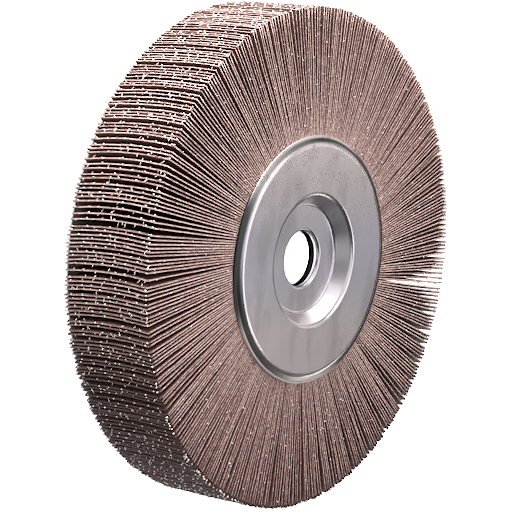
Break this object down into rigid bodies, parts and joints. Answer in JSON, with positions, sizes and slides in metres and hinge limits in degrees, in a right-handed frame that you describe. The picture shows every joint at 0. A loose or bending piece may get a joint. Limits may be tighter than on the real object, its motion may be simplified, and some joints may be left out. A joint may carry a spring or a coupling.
{
  "type": "flap wheel",
  "caption": "Abrasive flap wheel: radial sheets of coated cloth bonded round a core, between two dished steel flanges with a central bore.",
  "frame": {"origin": "centre of the wheel, on the bore's axis and midway between the flanges", "axes": "+Z along the bore axis, out of the front flange; the wheel lies flat on its rear flange"},
  "size_m": [0.1999, 0.1999, 0.0444],
  "materials": {
    "flange_steel": "satin",
    "tube_steel": "bright drawn",
    "cast_resin": "matte",
    "abrasive_cloth": "coarse, gritty"
  },
  "bodies": {
    "root": {"front_flange": "flange_steel", "rear_flange": "flange_steel", "spacer_tube": "tube_steel", "resin_core": "cast_resin", "flap_pack_01": "abrasive_cloth", "flap_pack_02": "abrasive_cloth", "flap_pack_03": "abrasive_cloth", "flap_pack_04": "abrasive_cloth", "flap_pack_05": "abrasive_cloth", "flap_pack_06": "abrasive_cloth", "flap_pack_07": "abrasive_cloth", "flap_pack_08": "abrasive_cloth", "flap_pack_09": "abrasive_cloth", "flap_pack_10": "abrasive_cloth", "flap_pack_11": "abrasive_cloth", "flap_pack_12": "abrasive_cloth", "flap_pack_13": "abrasive_cloth", "flap_pack_14": "abrasive_cloth", "flap_pack_15": "abrasive_cloth", "flap_pack_16": "abrasive_cloth", "flap_pack_17": "abrasive_cloth", "flap_pack_18": "abrasive_cloth", "flap_pack_19": "abrasive_cloth", "flap_pack_20": "abrasive_cloth", "flap_pack_21": "abrasive_cloth", "flap_pack_22": "abrasive_cloth", "flap_pack_23": "abrasive_cloth", "flap_pack_24": "abrasive_cloth", "flap_pack_25": "abrasive_cloth", "flap_pack_26": "abrasive_cloth", "flap_pack_27": "abrasive_cloth", "flap_pack_28": "abrasive_cloth", "flap_pack_29": "abrasive_cloth", "flap_pack_30": "abrasive_cloth", "flap_pack_31": "abrasive_cloth", "flap_pack_32": "abrasive_cloth", "flap_pack_33": "abrasive_cloth", "flap_pack_34": "abrasive_cloth", "flap_pack_35": "abrasive_cloth", "flap_pack_36": "abrasive_cloth", "flap_pack_37": "abrasive_cloth", "flap_pack_38": "abrasive_cloth", "flap_pack_39": "abrasive_cloth", "flap_pack_40": "abrasive_cloth", "flap_pack_41": "abrasive_cloth", "flap_pack_42": "abrasive_cloth", "flap_pack_43": "abrasive_cloth", "flap_pack_44": "abrasive_cloth", "flap_pack_45": "abrasive_cloth"}
  },
  "joints": []
}
